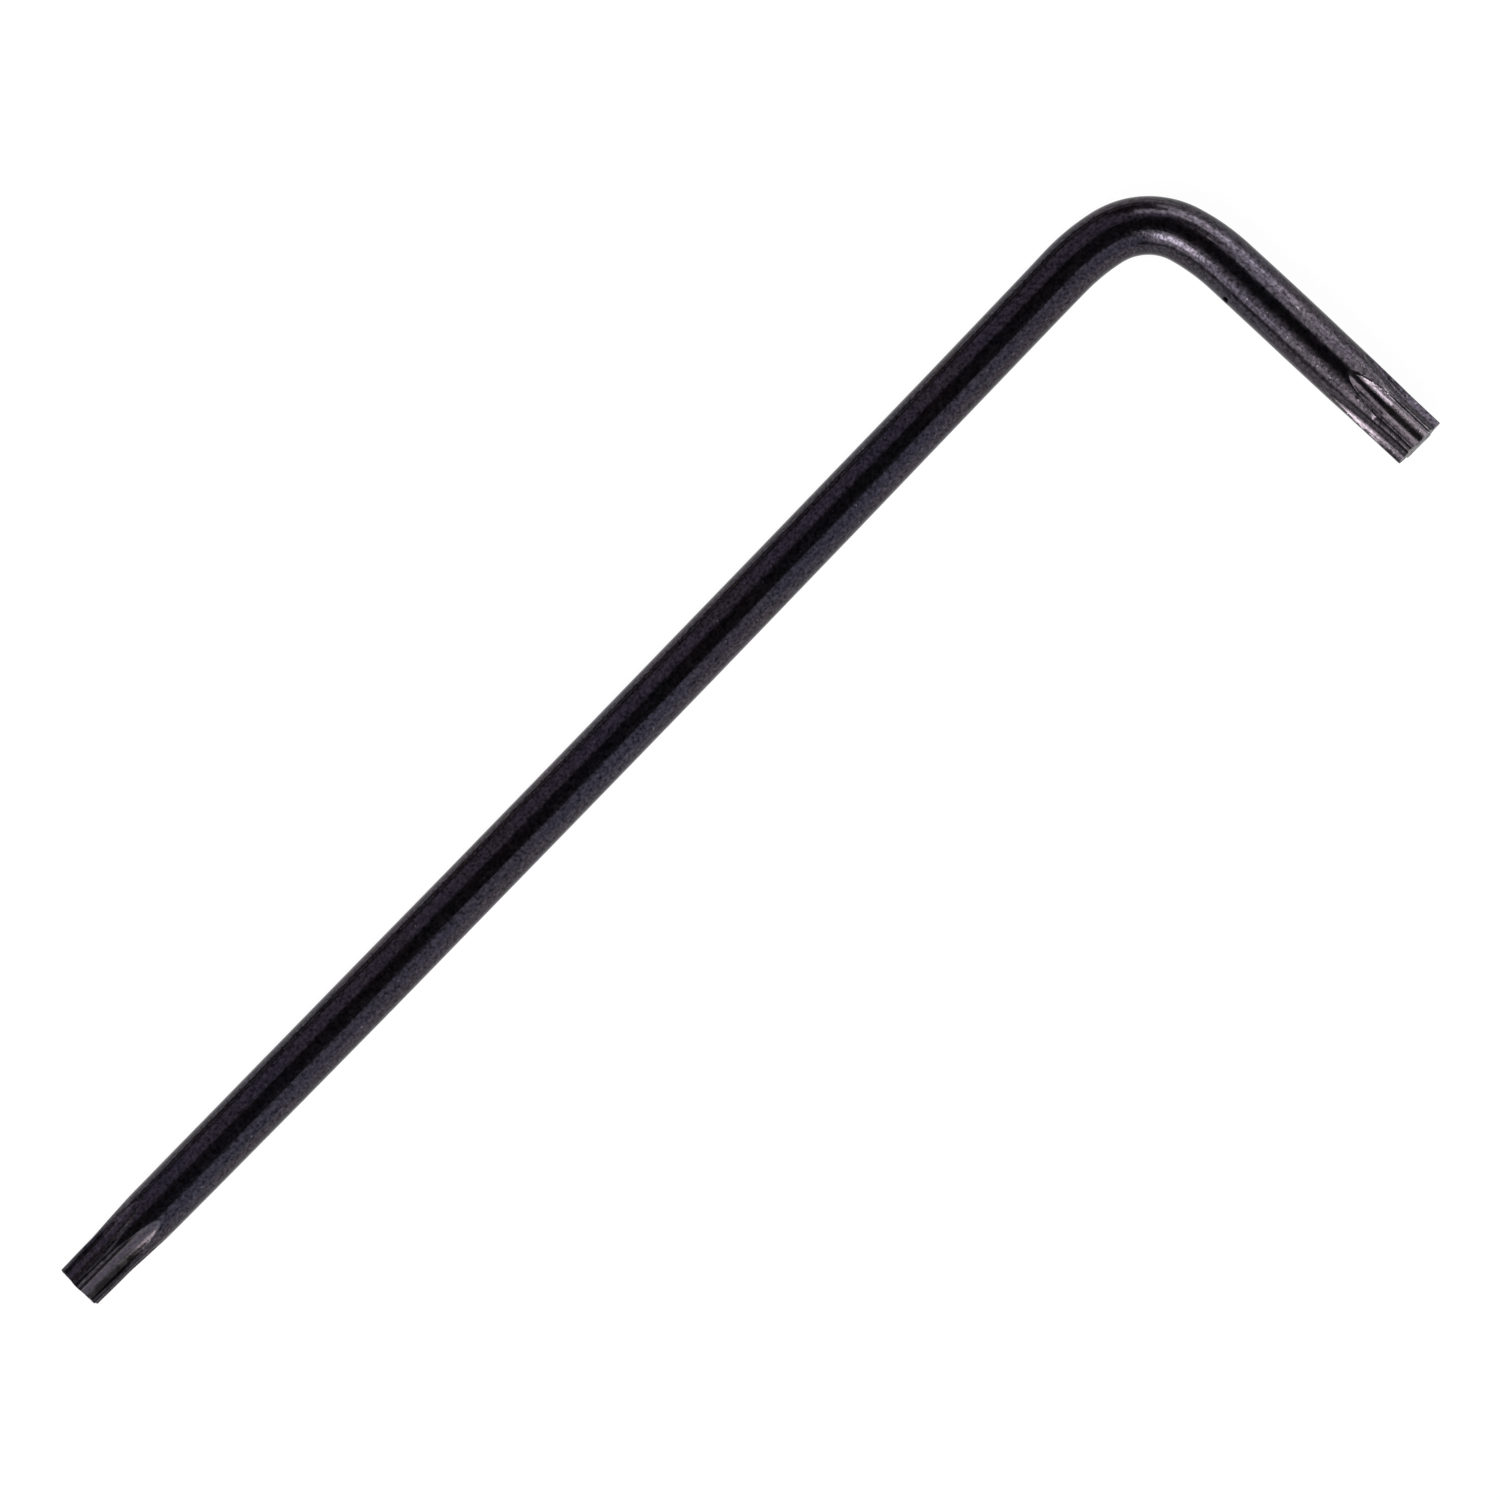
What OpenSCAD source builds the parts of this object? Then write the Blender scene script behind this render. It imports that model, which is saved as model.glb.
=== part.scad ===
// Star-drive key: one round steel bar, bent to an L, with a six-pointed star
// cut in both ends. It lies flat on a surface. +X runs along the long arm from
// the bend to its tip, +Y lies on the short arm's side, and +Z is up. The
// origin is the middle of the key's box, on the surface. Millimetres.

/* [Bar] */
// Diameter of the bar
bar_d = 4.0; // [4:0.05:4.8]
// Length of the long arm, from its tip to the outside of the short arm
long_arm = 110; // [80:1:160]
// Length of the short arm, from its tip to the outside of the long arm
short_arm = 28.3; // [26:0.1:40]

/* [Bend] */
// Angle between the two arms
arm_angle = 91; // [86:0.5:98]
// Centreline radius of the bend
bend_r = 6.6; // [5:0.1:8]
// How much thinner the bar is drawn in the bend
bend_neck = 0.04; // [0.03:0.01:0.08]

/* [Star] */
// Width across the points of the star
star_a = 3.92; // [3.86:0.01:3.95]
// Width across the hollows of the star
star_b = 2.82; // [2.75:0.01:2.86]
// Radius of each rounded point
point_r = 0.3; // [0.28:0.01:0.31]
// Height by which a point's rounding stands past the star's width, which
// leaves a narrow land of the bar's own skin along the point
land_h = 0.01; // [0.006:0.001:0.014]
// How much further a hollow is rounded than one that just touches the points
hollow_over = 0.035; // [0.03:0.005:0.06]

/* [Long arm's tip] */
// Diameter of the very tip
long_tip_d = 3.84; // [3.75:0.01:3.9]
// Length over which the tip widens to the full bar
long_lead = 13.5; // [9:0.5:18]
// Length of the hollows at their full depth
long_flute = 3.0; // [2:0.1:5]
// Length over which the hollows run out to the bar's skin
long_runout = 4.5; // [3:0.1:5.5]
// Angle of the top hollow from straight up, towards the short arm
long_roll = 30; // [0:0.5:59.5]

/* [Short arm's tip] */
// Extra diameter behind the star, where pressing it has swelled the bar
swell_d = 0.18; // [0.04:0.02:0.3]
// Length of bar at the star's width, past the hollows' full depth
swell_start = 0.5; // [0.3:0.1:1.5]
// Length of the even part of the swelling
swell_length = 3.5; // [1:0.5:5]
// Length over which the swelling goes down to the bar, next to the bend
swell_fall = 2.5; // [1:0.5:4]
// Length of the hollows at their full depth
short_flute = 5.1; // [4:0.1:6]
// Length over which the hollows run out to the bar's skin
short_runout = 1.85; // [1.5:0.05:2.5]
// Angle of the top hollow from straight up, away from the long arm's tip
short_roll = 1; // [0:0.5:59.5]

/* [Finish] */
// Colour of the black oxide finish
oxide = "#26242a"; // ["#26242a", "#1c1c1e", "#3a3a3c"]

/* [Hidden] */
$fn = 96;
points = 6;
// How far each cutter reaches past the skin
cut_clear = 0.5;
// How far each arm narrows into the bend's thinner end, to be one solid with it
lap = 0.5;
// Angle left uncut at each side of a point's middle, inside its land
land_angle = 1.5;

pitch = 360 / points;
bar_r = bar_d / 2;
swell_r = (bar_d + swell_d) / 2;
star_r = star_a / 2;
hollow_depth = (star_a - star_b) / 2;
turn = 180 - arm_angle;
half_cut = pitch / 2 - land_angle;

// The points' centres, and the hollows that cross the points' rounding
point_c = star_r - point_r + land_h;
touch_r = (pow(point_c, 2) + pow(star_b / 2, 2) - point_c * star_b * cos(pitch / 2) - pow(point_r, 2))
        / (2 * (point_r + point_c * cos(pitch / 2) - star_b / 2));
hollow_r = touch_r + hollow_over;
hollow_c = star_b / 2 + hollow_r;

// Where a hollow meets a point: the core disc reaches out to there
point_xy = point_c * [cos(pitch / 2), sin(pitch / 2)];
to_hollow = [hollow_c, 0] - point_xy;
core_r = norm(point_xy + to_hollow * point_r / (point_r + hollow_r));

// From the corner, where the arms' axes cross, to each end of the bend
corner_to_bend = bend_r * tan(turn / 2);
long_reach = long_arm - bar_r;
short_reach = short_arm - bar_r;
long_straight = long_reach - corner_to_bend;
short_straight = short_reach - corner_to_bend;

// The middle of the box round the key, from the corner
x_low = min(-bar_r, short_reach * cos(arm_angle) - star_r * sin(arm_angle));
y_high = short_reach * sin(arm_angle) + star_r * abs(cos(arm_angle));
box_middle = [(x_low + long_reach) / 2, (y_high - bar_r) / 2];

// The star's section: rounded points round a core, less the hollows
module star_section() {
    difference() {
        union() {
            circle(r = core_r);
            for (i = [0:points - 1])
                rotate((i + 0.5) * pitch) translate([point_c, 0]) circle(r = point_r);
        }
        for (i = [0:points - 1])
            rotate(i * pitch) translate([hollow_c, 0]) circle(r = hollow_r);
    }
}

// One hollow's share of what is cut away, between two points' middles
module hollow_section() {
    reach = swell_r + cut_clear;
    difference() {
        polygon([[0, 0], [reach, -reach * tan(half_cut)], [reach, reach * tan(half_cut)]]);
        star_section();
    }
}

// A cutter for one hollow: straight from the tip, then curving up to the skin
module hollow_cut(flute, runout) {
    sweep_r = (pow(runout, 2) + pow(hollow_depth, 2)) / (2 * hollow_depth);
    sweep_c = star_b / 2 + sweep_r;
    sweep = acos((sweep_c - swell_r - cut_clear) / sweep_r);
    translate([0, 0, -cut_clear]) linear_extrude(flute + cut_clear) hollow_section();
    translate([sweep_c, 0, flute]) rotate([90, 0, 180])
        rotate_extrude(angle = sweep) translate([sweep_c, 0]) mirror([1, 0]) hollow_section();
}

module star_cuts(flute, runout, roll) {
    for (i = [0:points - 1])
        rotate(roll + i * pitch) hollow_cut(flute, runout);
}

module into_bend() {
    cylinder(h = lap, r1 = bar_r, r2 = bar_r - bend_neck);
}

// Each arm is drawn from its tip, at zero, up to the bend
module long_arm_bar() {
    plain = long_straight - long_lead;
    difference() {
        union() {
            cylinder(h = long_lead, r1 = long_tip_d / 2, r2 = bar_r);
            translate([0, 0, long_lead]) {
                cylinder(h = plain, r = bar_r);
                translate([0, 0, plain]) into_bend();
            }
        }
        star_cuts(long_flute, long_runout, long_roll);
    }
}

module short_arm_bar() {
    star_length = short_flute + swell_start;
    rise = short_straight - swell_fall - swell_length - star_length;
    difference() {
        union() {
            cylinder(h = star_length, r = star_r);
            translate([0, 0, star_length]) {
                cylinder(h = rise, r1 = star_r, r2 = swell_r);
                translate([0, 0, rise]) cylinder(h = swell_length, r = swell_r);
                translate([0, 0, rise + swell_length]) {
                    cylinder(h = swell_fall, r1 = swell_r, r2 = bar_r);
                    translate([0, 0, swell_fall]) into_bend();
                }
            }
        }
        star_cuts(short_flute, short_runout, short_roll);
    }
}

// The bend, from the long arm round to the short one
module bend() {
    translate([corner_to_bend, bend_r]) rotate(-90 - turn)
        rotate_extrude(angle = turn) translate([bend_r, 0]) circle(r = bar_r - bend_neck / 2);
}

module star_key() {
    color(oxide) translate([-box_middle.x, -box_middle.y, swell_r]) {
        translate([long_reach, 0, 0]) rotate([0, -90, 0]) long_arm_bar();
        bend();
        rotate(arm_angle) translate([short_reach, 0, 0]) rotate([0, -90, 0]) short_arm_bar();
    }
}

star_key();
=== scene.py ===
import math

import bmesh
import bpy
from mathutils import Matrix, Vector


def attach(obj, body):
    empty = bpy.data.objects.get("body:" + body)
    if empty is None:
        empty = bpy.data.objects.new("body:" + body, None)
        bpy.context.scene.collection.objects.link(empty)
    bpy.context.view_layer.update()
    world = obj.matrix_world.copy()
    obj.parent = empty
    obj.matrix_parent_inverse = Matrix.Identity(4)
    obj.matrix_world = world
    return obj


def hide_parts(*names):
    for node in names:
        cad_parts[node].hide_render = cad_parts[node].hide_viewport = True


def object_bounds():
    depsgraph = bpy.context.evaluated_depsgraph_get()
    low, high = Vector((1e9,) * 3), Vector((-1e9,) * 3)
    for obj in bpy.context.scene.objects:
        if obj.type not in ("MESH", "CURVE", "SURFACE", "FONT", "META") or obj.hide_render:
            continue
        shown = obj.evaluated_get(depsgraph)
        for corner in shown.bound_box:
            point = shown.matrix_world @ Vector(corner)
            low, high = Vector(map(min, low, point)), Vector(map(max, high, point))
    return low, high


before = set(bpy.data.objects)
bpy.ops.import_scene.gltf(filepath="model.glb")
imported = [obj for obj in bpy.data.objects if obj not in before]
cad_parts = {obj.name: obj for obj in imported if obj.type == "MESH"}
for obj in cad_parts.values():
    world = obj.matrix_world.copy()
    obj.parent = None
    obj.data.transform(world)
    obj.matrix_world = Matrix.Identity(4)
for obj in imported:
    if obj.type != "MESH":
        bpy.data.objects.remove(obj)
cad_low, cad_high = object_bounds()
scene = bpy.context.scene

# ------------------------------------------------------------------ the bar
# The key is one piece of hardened tool steel: round drawn bar, cut to length.
# It is drawn here straight along X, from the long arm's tip at zero, ring by
# ring, with the rings closest where the stars and the dent are cut later.
mm = 0.001
bar_r = 2.0 * mm
points_round = 216

bow = math.radians(1.0)
bend_plan = (          # length of each stretch, and how far it turns
    (99.884 * mm, -bow),
    (3.787 * mm, math.radians(14)),
    (5.856 * mm, math.radians(61.25)),
    (3.787 * mm, math.radians(14)),
    (1.6 * mm, 0.0),
    (4.0 * mm, math.radians(0.5)),
    (12.834 * mm, 0.0),
)
bar_length = sum(length for length, turn in bend_plan)

key = bmesh.new()
bmesh.ops.create_circle(key, cap_ends=False, segments=points_round, radius=bar_r,
                        matrix=Matrix.Rotation(math.pi / 2, 4, "Y"))
drawn = key.verts[:] + key.edges[:]
for length, steps in (
    (0.04, 1), (8.16, 116), (5.3, 10), (86.384, 60),    # the long arm
    (3.787, 10), (5.856, 36), (3.787, 10),              # the bend
    (0.934, 2), (1.6, 18), (8.4, 14), (7.46, 116), (0.04, 1),   # the short arm
):
    step = length * mm / steps
    grown = bmesh.ops.spin(key, geom=drawn, cent=(0, 0, 0), axis=(1, 0, 0),
                           dvec=(step, 0, 0), angle=0, steps=steps)["geom_last"]
    drawn = [part for part in grown if not isinstance(part, bmesh.types.BMFace)]

# ----------------------------------------------- thickness, stars and dent
# The bar tapers a little to the long tip and is swelled a little behind the
# short one, where pressing the star has pushed the steel back. Six hollows
# are pressed into each tip and run out to the skin along a curve.
skin = (               # how far along the bar, and its radius there
    (0.0, 1.85), (2.6, 1.93), (4.2, 1.96), (7.5, 2.00), (13.5, 2.025), (22.0, 2.048),
    (30.0, 2.06), (40.0, 2.045), (60.0, 2.05), (75.0, 2.037), (88.0, 2.02), (97.0, 2.033),
    (102.0, 2.07), (107.0, 2.08), (112.0, 2.115), (120.0, 2.125), (124.0, 2.105),
    (127.5, 2.06), (131.8, 2.04),
)


def eased(value, low, high):
    """Zero below a range, one above it, and a smooth step between."""
    share = min(1.0, max(0.0, (value - low) / (high - low)))
    return share * share * (3 - 2 * share)


def skin_radius(along):
    """The bar's radius at a place along it, in millimetres."""
    for (at_a, r_a), (at_b, r_b) in zip(skin, skin[1:]):
        if along <= at_b:
            return r_a + (r_b - r_a) * eased(along, at_a, at_b)
    return skin[-1][1]


# radius at a hollow's floor, of a hollow, to a point's centre, and of the core
long_star, short_star = (1.47, 1.10, 1.64, 1.72), (1.44, 1.03, 1.74, 1.83)
long_turn, short_turn = math.radians(-29.5), math.radians(3.0)
point_r, pitch = 0.3, math.radians(60)
star_length = 8.4      # no hollow reaches further from its tip
floor_fade = 0.12      # width over which a floor's finish gives way to its wall's
clear_lift = 0.58      # lift of the pressing die at which it leaves the bar


def star_radius(across, lift, hollow_floor, hollow_r, point_c, core_r):
    """The star's radius at an angle from a hollow's middle, in millimetres.
    The lift is how far the pressing die has risen out of the bar there."""
    cos_a, sin_a = math.cos(across), abs(math.sin(across))
    hollow_c = hollow_floor + hollow_r + lift
    inside = hollow_r ** 2 - (hollow_c * sin_a) ** 2
    hollow = hollow_c * cos_a - math.sqrt(inside) if inside > 0 else 9.0
    core = lift * cos_a + math.sqrt(core_r ** 2 - (lift * sin_a) ** 2)
    lobe_x, point_y = point_c * math.cos(pitch / 2) + lift, point_c * math.sin(pitch / 2)
    near = lobe_x * cos_a + point_y * sin_a
    inside = near ** 2 - lobe_x ** 2 - point_y ** 2 + point_r ** 2
    lobe = near + math.sqrt(inside) if inside > 0 else 0.0
    return min(hollow, max(core, lobe))


def die_lift(past_tip, full, run_out, power):
    """How far the die has risen past the hollows' full depth, on its curve."""
    return clear_lift * (max(0.0, past_tip - full) / run_out) ** power


def side_lift(past_tip, number):
    """The same for the short star's side hollows, the inner one being shallower."""
    if number == 1:
        return 0.06 + 0.0118 * max(0.0, past_tip - 0.5) ** 2
    return 0.03 * max(0.0, past_tip - 2.5) ** 2


def near_by(angle, middle, full, none):
    """One near an angle given in degrees, and zero away from it."""
    return 1 - eased(abs(math.degrees(angle) - middle), full, none)


def patch(angle, middle, full, none, past_tip, fades, ends):
    """A strip of finish along a tip, near an angle, that ends further in."""
    return near_by(angle, middle, full, none) * (1 - eased(past_tip, fades, ends))


def floor_share(star, across, half_width, radius):
    """One on a hollow's floor, and zero on its edges and on the bar's skin."""
    from_middle = abs(star * math.sin(across))
    return 1 - eased(from_middle, half_width - floor_fade, half_width) if star < radius else 0


def short_tip(past_tip, angle, radius):
    """The short star's radius, how burnished and rubbed it is there, and its painted shade.
    The top hollow is burnished most; painted shade lies beside its edge and past one point's crest."""
    star_angle = angle + short_turn
    number = round(star_angle / pitch)
    across = star_angle - number * pitch
    lift = side_lift(past_tip, number) if number else die_lift(past_tip, 3.2, 3.4, 1.4)
    star = star_radius(across, lift, *short_star)
    shine, half_width = 0.0, 0.78
    if number == 0:
        shine = 0.62 - 0.42 * eased(past_tip, 2.6, 4.2) + 0.3 * eased(past_tip, 5.0, 6.0)
        half_width = 0.74 if across < 0 else 0.42
    elif number == 1 and across > math.radians(7):
        shine = 0.2 + 0.35 * eased(past_tip, 1.5, 4.5)
    crest = 0.6 * patch(star_angle, -26.5, 1.2, 2.6, past_tip, 4.6, 5.2)
    # Painted shade: black lines beside one point's crest and along the top hollow's edge stand in for
    # shade.
    painted_shade_line = 0.8 * patch(star_angle, -31.2, 1.0, 2.6, past_tip, 2.2, 3.2)
    painted_shade_by_hollow_edge = 0.35 * near_by(angle, 20, 3, 6) * eased(past_tip, 0.2, 1.0)
    return star, shine * floor_share(star, across, half_width, radius), crest, max(painted_shade_line, painted_shade_by_hollow_edge)


def long_tip(past_tip, angle, radius):
    """The same for the long star, whose top hollow is rubbed bare on one side."""
    star_angle = angle + long_turn
    number = round(star_angle / pitch)
    across = star_angle - number * pitch
    star = star_radius(across, die_lift(past_tip, 3.0, 4.6, 1.6), *long_star)
    shine, rubbed, half_width = 0.1, 0.0, 0.78
    if number == 0:
        far_edge = eased(math.degrees(across), 0, 12) * eased(past_tip, 4.2, 5.6)
        shine, half_width = 0.5 + 0.5 * far_edge, 0.70
        rubbed = 0.66 * (1 - eased(past_tip, 3.5, 5.0)) if across > math.radians(7) else 0.0
    floor = floor_share(star, across, half_width, radius)
    crest = 0.8 * patch(star_angle, -26.5, 2.0, 4.5, past_tip, 2.0, 4.6)
    # Painted shade: black strips along the hollows' walls near the tip stand in for shade.
    painted_shade_line = 0.85 * patch(angle, 11, 2.5, 4.8, past_tip, 4.5, 6.2)
    inner_painted_shade = 0.5 * patch(angle, 52, 10, 15, past_tip, 3.5, 6.0)
    outer_painted_shade = 0.5 * patch(angle, -14, 5, 8, past_tip, 3.5, 6.0)
    return star, shine * floor, max(rubbed * floor, crest), max(painted_shade_line, inner_painted_shade, outer_painted_shade)


edge_break, worn_edge = 0.04, 0.05
sharp_length = 4.5     # the short star's edges are hardly worn over this length
sharp_wear, edge_wear = 0.15, 0.5
cut_wear, long_edge_wear = 2.0, 0.4      # of the cut ends, and of the long one's edge
off_square = 0.05      # how far the short end leans for each millimetre across
black_depth = 0.12     # a dent this deep is blackened fully
dents = (              # place, angle round the bar, half length, half width, depth
    (114.80, math.radians(72), 0.17, 0.30, 0.20),
    (127.10, math.radians(-27), 0.22, 0.07, 0.05),
    (126.50, math.radians(24), 0.10, 0.09, -0.03),
    (128.30, math.radians(30), 0.12, 0.10, 0.03),
)
worn = key.verts.layers.float.new("worn_edge")
pressed = key.verts.layers.float.new("pressed")
painted_shade_and_dent_black = key.verts.layers.float.new("painted_shade_and_dent_black")
total = bar_length / mm
for vert in key.verts:
    along = vert.co.x / mm
    angle = math.atan2(vert.co.y, vert.co.z)
    past_short = total - along
    end_gap, at_short = min(along, past_short), past_short < along
    radius = skin_radius(along)
    if end_gap < star_length:
        tip = short_tip if at_short else long_tip
        star, vert[pressed], rubbed, vert[painted_shade_and_dent_black] = tip(end_gap, angle, radius)
        close = max(0.0, worn_edge - abs(radius - star)) / worn_edge
        wear = sharp_wear if at_short and end_gap < sharp_length else edge_wear
        vert[worn] = max(close * wear, rubbed)
        radius = min(radius, star) - close * close * worn_edge / 4
    if end_gap < edge_break:
        radius -= edge_break - end_gap
        vert[worn] = cut_wear if at_short else long_edge_wear
    for dent_at, dent_round, half_length, half_width, depth in dents:
        if abs(along - dent_at) < 1.0:
            off = Vector(((along - dent_at) / half_length, (angle - dent_round) * radius / half_width))
            share = math.exp(-off.length_squared)
            radius -= depth * share
            # A dent is blackened in proportion to its depth.
            vert[painted_shade_and_dent_black] = max(vert[painted_shade_and_dent_black], share * depth / black_depth)
    vert.co.y = radius * mm * math.sin(angle)
    vert.co.z = radius * mm * math.cos(angle)
    if past_short < 1.0:
        vert.co.x -= off_square * vert.co.y * (1 - past_short)

# The two cut ends are closed with flat faces.
open_ends = [edge for edge in key.edges if edge.is_boundary]
ends = bmesh.ops.holes_fill(key, edges=open_ends, sides=0)["faces"]
for vert in bmesh.ops.poke(key, faces=ends)["verts"]:
    vert[worn] = cut_wear
bmesh.ops.recalc_face_normals(key, faces=key.faces)

# ------------------------------------------------------------------ the bend
# The star-cut bar is bent cold round a former into an L. Each point keeps its
# place in the straight bar in "unbent", which the finish follows.
unbent = key.verts.layers.float_vector.new("unbent")
axis_height = (cad_low.z + cad_high.z) / 2
tip_at = Vector((cad_high.x, cad_low.y + bar_r))


def bent(point):
    """Where a point of the straight bar goes once the bar is bent."""
    left, at, turned = point.x, tip_at.copy(), bow / 2
    for length, turn in bend_plan:
        part = min(left, length)
        side = Vector((math.sin(turned), math.cos(turned)))
        if turn:
            former = at + side * (length / turn)
            turned += turn * part / length
            side = Vector((math.sin(turned), math.cos(turned)))
            at = former - side * (length / turn)
        else:
            at = at + Vector((-math.cos(turned), math.sin(turned))) * part
        left -= part
        if left <= 0:
            break
    side = Vector((math.sin(turned), math.cos(turned)))
    at = at + side * point.y
    return Vector((at.x, at.y, axis_height + point.z))


for vert in key.verts:
    vert[unbent] = vert.co
    vert.co = bent(vert.co)

key_mesh = bpy.data.meshes.new("bent_steel_bar")
key.to_mesh(key_mesh)
key.free()
for face in key_mesh.polygons:
    face.use_smooth = True
key_mesh.set_sharp_from_angle(angle=math.radians(38))
bent_bar = bpy.data.objects.new("bent_steel_bar", key_mesh)
scene.collection.objects.link(bent_bar)

# ------------------------------------------------------------ the oxide skin
# The hardened key is blacked in a hot salt bath: a thin satin-black oxide with
# a purple to blue cast and faint marks of drawing along it. Edges are worn
# bright and the hollows burnished. Black painted shade lies in lines along the
# hollows' walls near the tips, and the dents are blackened by their depth.
purple_oxide, blue_oxide = (0.094, 0.079, 0.093), (0.086, 0.078, 0.100)
drawn_line, pore = (0.034, 0.029, 0.036), (0.006, 0.005, 0.007)
burnish_low, burnish_high = (0.110, 0.092, 0.103), (0.172, 0.147, 0.164)
# The black and the dead rim serve the painted shade and the blackened dents.
bare_steel, black_for_shade_and_dents = (0.22, 0.21, 0.21), (0.004, 0.004, 0.004)
clean_rim, dead_rim_for_shade_and_dents = (0.73, 0.73, 0.73), (0.0, 0.0, 0.0)

oxide = bpy.data.materials.new("black_oxide")
oxide.use_nodes = True
nodes, links = oxide.node_tree.nodes, oxide.node_tree.links
skin_shader = nodes["Principled BSDF"]
skin_shader.inputs["Metallic"].default_value = 1.0

place = nodes.new("ShaderNodeAttribute")
place.attribute_name = "unbent"


def oxide_noise(scale, detail, stretch=(1, 1, 1)):
    """Noise that follows the bar round the bend."""
    turn = nodes.new("ShaderNodeMapping")
    turn.inputs["Scale"].default_value = stretch
    links.new(place.outputs["Vector"], turn.inputs["Vector"])
    noise = nodes.new("ShaderNodeTexNoise")
    noise.inputs["Scale"].default_value = scale
    noise.inputs["Detail"].default_value = detail
    links.new(turn.outputs["Vector"], noise.inputs["Vector"])
    return noise.outputs["Fac"]


def graded(value, low, high, to_low, to_high):
    """Spreads the middle of a noise over a range of another value."""
    grade = nodes.new("ShaderNodeMapRange")
    ends = (("From Min", low), ("From Max", high), ("To Min", to_low), ("To Max", to_high))
    for name, number in ends:
        grade.inputs[name].default_value = number
    links.new(value, grade.inputs["Value"])
    return grade.outputs["Result"]


def blended(share, first, second, mode="MIX"):
    """Two colours, or a colour and a socket, mixed by a share."""
    mix = nodes.new("ShaderNodeMix")
    mix.data_type = "RGBA"
    mix.blend_type = mode
    links.new(share, mix.inputs["Factor"])
    for socket, value in ((mix.inputs[6], first), (mix.inputs[7], second)):
        if isinstance(value, tuple):
            socket.default_value = (*value, 1)
        else:
            links.new(value, socket)
    return mix.outputs[2]


def named(attribute):
    """A number kept on the bar's points."""
    node = nodes.new("ShaderNodeAttribute")
    node.attribute_name = attribute
    return node.outputs["Fac"]


def sum_of(first, second, operation="ADD"):
    """Two numbers added, or put together another way."""
    node = nodes.new("ShaderNodeMath")
    node.operation = operation
    links.new(first, node.inputs[0])
    links.new(second, node.inputs[1])
    return node.outputs[0]


clouds = graded(oxide_noise(160, 3), 0.35, 0.65, 0, 1)
grain = oxide_noise(4200, 3)
mottle = graded(grain, 0.25, 0.75, 0, 1)
draw_marks = graded(oxide_noise(5200, 2, (0.02, 1, 1)), 0.3, 0.7, 0, 1)
specks = graded(oxide_noise(3600, 1), 0.745, 0.78, 0, 0.6)

light_oxide = blended(clouds, purple_oxide, blue_oxide)
streaked = blended(graded(draw_marks, 0, 1, 0, 0.35), light_oxide, drawn_line)
spotted = blended(mottle, pore, streaked)
burnished = blended(mottle, burnish_low, burnish_high)
hollows = blended(named("pressed"), spotted, burnished)
bared = sum_of(named("worn_edge"), graded(oxide_noise(900, 2), 0.4, 0.62, 0.1, 0.75), "MULTIPLY")
edged = blended(sum_of(bared, specks, "MAXIMUM"), hollows, bare_steel)
# Painted shade, and blackened dents: the colour and the edge reflection go black there.
links.new(blended(named("painted_shade_and_dent_black"), edged, black_for_shade_and_dents), skin_shader.inputs["Base Color"])
links.new(blended(named("painted_shade_and_dent_black"), clean_rim, dead_rim_for_shade_and_dents), skin_shader.inputs["Specular Tint"])
rough_ends = graded(named("worn_edge"), 0.55, 0.8, 0, 0.3)
links.new(sum_of(graded(oxide_noise(1500, 3), 0.3, 0.7, 0.13, 0.23), rough_ends),
          skin_shader.inputs["Roughness"])

bump = nodes.new("ShaderNodeBump")
bump.inputs["Strength"].default_value = 1.0
bump.inputs["Distance"].default_value = 0.000008
links.new(sum_of(grain, graded(draw_marks, 0, 1, 0, 0.25)), bump.inputs["Height"])
links.new(bump.outputs["Normal"], skin_shader.inputs["Normal"])

key_mesh.materials.append(oxide)
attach(bent_bar, "root")
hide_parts("star_key")

# ------------------------------------------------------------------ the floor
# A plain white studio table, which keeps a soft trace of the key's shadow.
table = bmesh.new()
table_r, paper_grey, paper_glow = 1.6, 0.15, 0.90
bmesh.ops.create_circle(table, cap_ends=True, segments=96, radius=table_r)
table_mesh = bpy.data.meshes.new("studio_table")
table.to_mesh(table_mesh)
table.free()
studio_table = bpy.data.objects.new("studio_table", table_mesh)
scene.collection.objects.link(studio_table)

paper = bpy.data.materials.new("white_paper")
paper.use_nodes = True
paper_nodes, paper_links = paper.node_tree.nodes, paper.node_tree.links
paper_nodes.remove(paper_nodes["Principled BSDF"])
matt = paper_nodes.new("ShaderNodeBsdfDiffuse")
matt.inputs["Color"].default_value = (paper_grey, paper_grey, paper_grey, 1)
glow = paper_nodes.new("ShaderNodeEmission")
rays = paper_nodes.new("ShaderNodeLightPath")
seen = rays.outputs["Is Camera Ray"]
for name in ("Is Glossy Ray", "Is Transmission Ray"):
    either = paper_nodes.new("ShaderNodeMath")
    either.operation = "MAXIMUM"
    paper_links.new(seen, either.inputs[0])
    paper_links.new(rays.outputs[name], either.inputs[1])
    seen = either.outputs[0]
lit = paper_nodes.new("ShaderNodeMath")
lit.operation = "MULTIPLY"
lit.inputs[1].default_value = paper_glow
paper_links.new(seen, lit.inputs[0])
paper_links.new(lit.outputs[0], glow.inputs["Strength"])
both = paper_nodes.new("ShaderNodeAddShader")
paper_links.new(matt.outputs[0], both.inputs[0])
paper_links.new(glow.outputs[0], both.inputs[1])
paper_links.new(both.outputs[0], paper_nodes["Material Output"].inputs["Surface"])
table_mesh.materials.append(paper)

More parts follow.
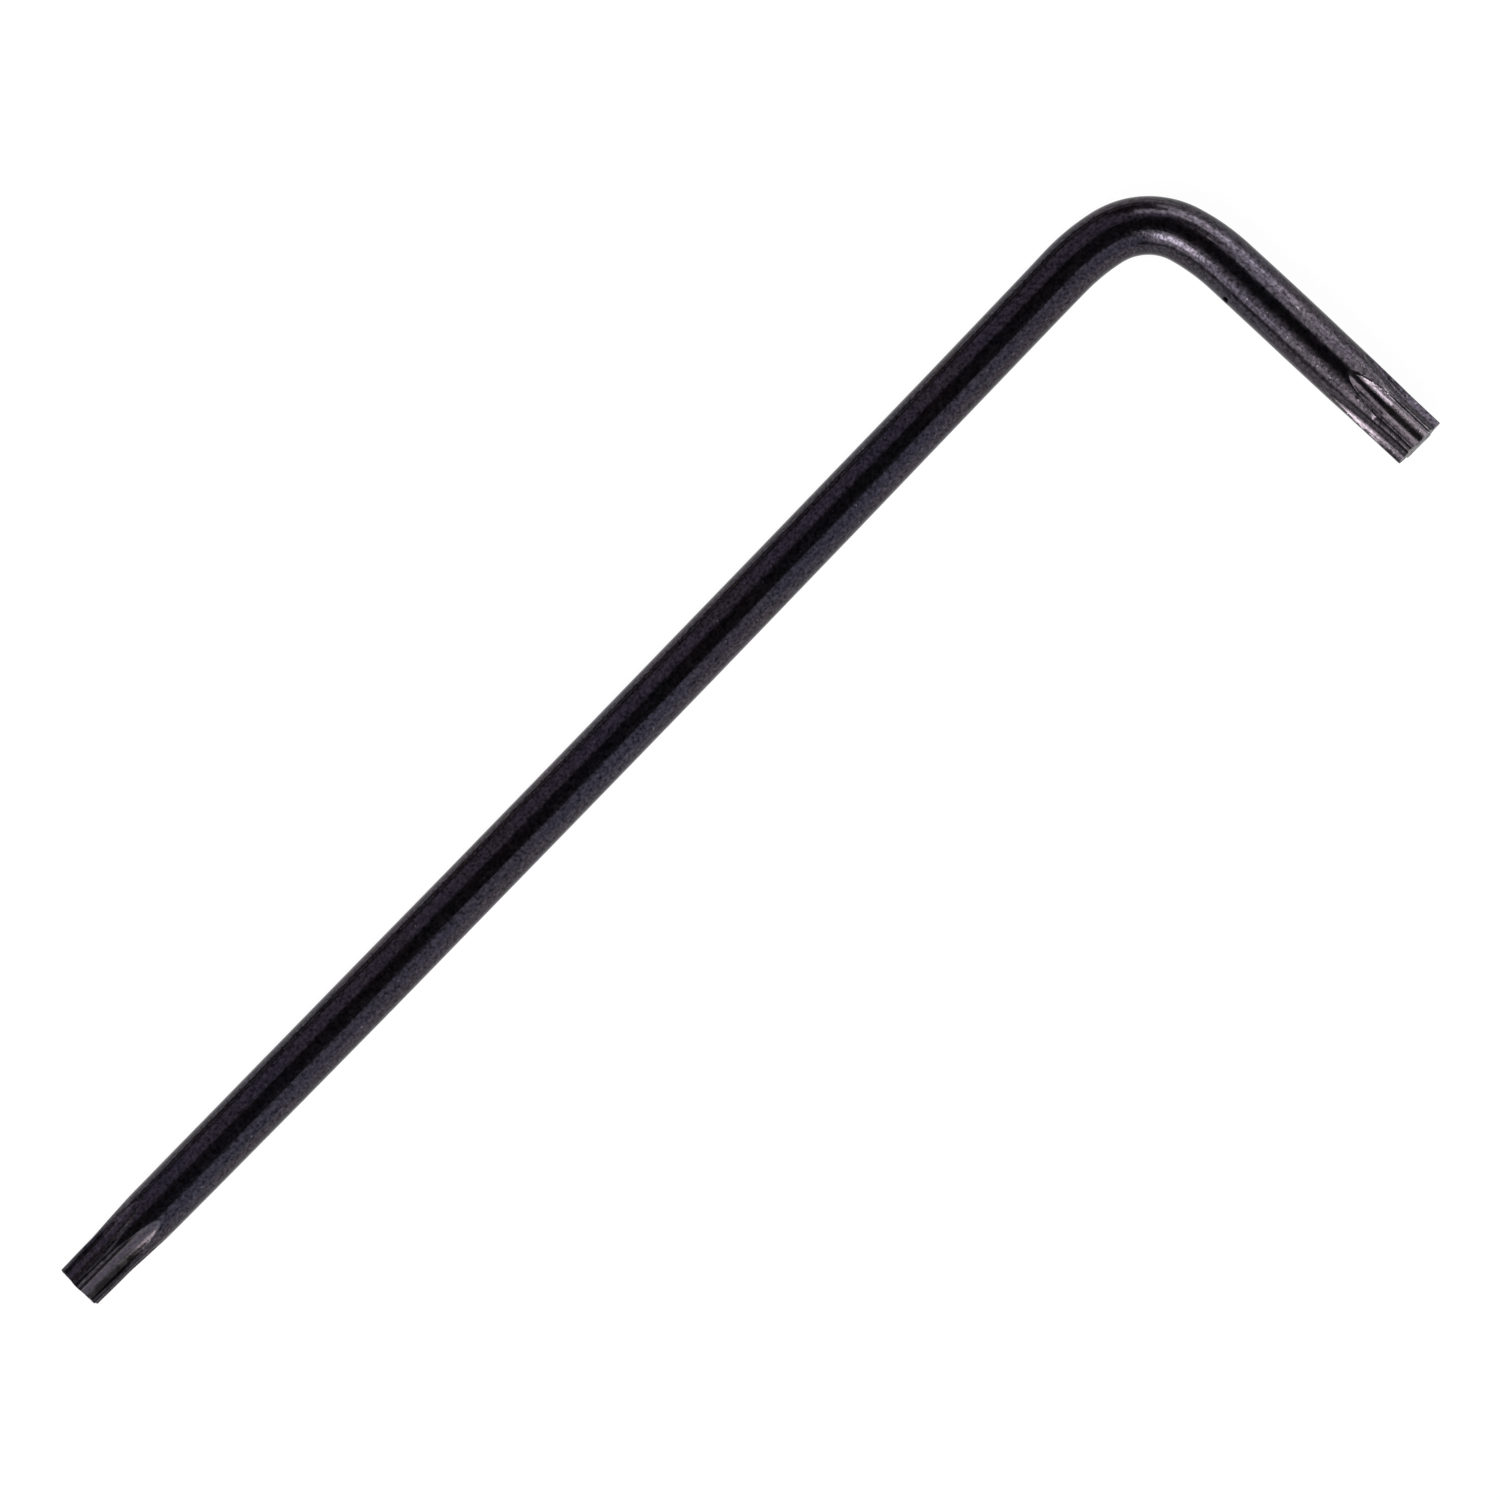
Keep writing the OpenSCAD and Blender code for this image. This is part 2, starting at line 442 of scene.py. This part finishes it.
# ----------------------------------------------------------------- the light
# Bright soft boxes stand past both ends of the long arm and off the bend's
# corner, small bright ones shine into the crook, and dim tinted ones stand at
# the sides. Nothing hangs overhead, and the room is dark above the table.
world = bpy.data.worlds.new("studio_room")
scene.world = world
world.use_nodes = True
room, room_links = world.node_tree.nodes, world.node_tree.links
looking = room.new("ShaderNodeTexCoord")
parts = room.new("ShaderNodeSeparateXYZ")
room_links.new(looking.outputs["Generated"], parts.inputs[0])
height = room.new("ShaderNodeMapRange")
height.interpolation_type = "SMOOTHSTEP"
for name, number in (("From Min", 0.040), ("From Max", 0.050), ("To Min", 1.0), ("To Max", 0.06)):
    height.inputs[name].default_value = number
room_links.new(parts.outputs["Z"], height.inputs["Value"])
room_links.new(height.outputs["Result"], room["Background"].inputs["Strength"])
room["Background"].inputs["Color"].default_value = (1, 1, 1, 1)


def soft_box(name, toward, low, high, half_width, radiance, colour=(1, 1, 1)):
    """A soft box that faces the key from one side, between two heights in degrees."""
    distance = 1.25
    middle, half = math.radians((low + high) / 2), math.radians((high - low) / 2)
    lamp = bpy.data.lights.new(name, "AREA")
    lamp.shape = "RECTANGLE"
    lamp.size = 2 * distance * math.tan(math.radians(half_width))
    lamp.size_y = 2 * distance * math.tan(half)
    lamp.energy = radiance * math.pi * lamp.size * lamp.size_y
    lamp.color = colour
    box = bpy.data.objects.new(name, lamp)
    compass = math.radians(toward)
    way = Vector((math.cos(compass) * math.cos(middle), math.sin(compass) * math.cos(middle),
                  math.sin(middle)))
    box.location = way * distance
    box.rotation_euler = way.to_track_quat("Z", "Y").to_euler()
    box.visible_camera = False
    scene.collection.objects.link(box)


soft_box("soft_box_bend_end", 166, 34, 62, 18, 2.3)
soft_box("fill_bend_end", 163, 19, 34, 21, 0.55)
soft_box("corner_box_low", 198, 12, 36, 13, 3.6)
soft_box("corner_box_high", 220, 28, 45, 9, 2.3)
soft_box("low_strip_bend_end", 180, 3, 19, 38, 2.5)
soft_box("fill_tip_end", 0, 1, 19, 38, 0.2)
soft_box("soft_box_tip_end", 0, 19, 42, 38, 2.6)
soft_box("weak_box_tip_end", 0, 48, 70, 38, 0.45)
soft_box("bright_box_in_the_crook", 18, 36, 55, 12, 10.5)
soft_box("high_box_in_the_crook", 28, 54, 66, 12, 1.8)
soft_box("soft_box_outer_side_high", 270, 38, 68, 36, 0.46, (0.85, 0.78, 1.0))
soft_box("soft_box_outer_side_low", 270, 13, 38, 24, 0.46, (0.85, 0.78, 1.0))
soft_box("soft_box_inner_side", 90, 1, 53, 36, 0.86, (0.80, 0.86, 1.0))

# A black card lies along the outer side of the long arm, hidden from the camera:
# it takes the table's white off the foot of that side.
card = bmesh.new()
bmesh.ops.create_grid(card, x_segments=1, y_segments=1, size=0.5,
                      matrix=Matrix.Translation((0, -0.528, 0.0002)))
card_mesh = bpy.data.meshes.new("black_card")
card.to_mesh(card_mesh)
card.free()
black_card = bpy.data.objects.new("black_card", card_mesh)
scene.collection.objects.link(black_card)
black_card.visible_camera = black_card.visible_shadow = black_card.visible_diffuse = False
felt = bpy.data.materials.new("black_felt")
felt.use_nodes = True
felt.node_tree.nodes["Principled BSDF"].inputs["Base Color"].default_value = (0.01, 0.01, 0.01, 1)
felt.node_tree.nodes["Principled BSDF"].inputs["Roughness"].default_value = 1.0
card_mesh.materials.append(felt)

# ---------------------------------------------------------------- the camera
# A long lens looks almost straight down, leaning a little to the short arm's
# tip, with the long arm running from the top right to the bottom left.
looked_at = Vector((-0.004956, -0.004572, axis_height))
picture_top = math.radians(224.27)       # the compass way that is up in the view
lean = math.radians(5.1)
camera_data = bpy.data.cameras.new("camera")
camera_data.sensor_width = 36
camera_data.lens = 250
camera = bpy.data.objects.new("camera", camera_data)
view_width = 0.10575
away = view_width * camera_data.lens / camera_data.sensor_width
back = Vector((0, math.sin(lean), math.cos(lean)))
camera.location = looked_at + back * away
right = Vector((math.cos(picture_top), math.sin(picture_top), 0)).cross(back).normalized()
up = back.cross(right)
camera.rotation_euler = Matrix((right, up, back)).transposed().to_euler()
scene.collection.objects.link(camera)
scene.camera = camera
scene.view_settings.view_transform = "Standard"
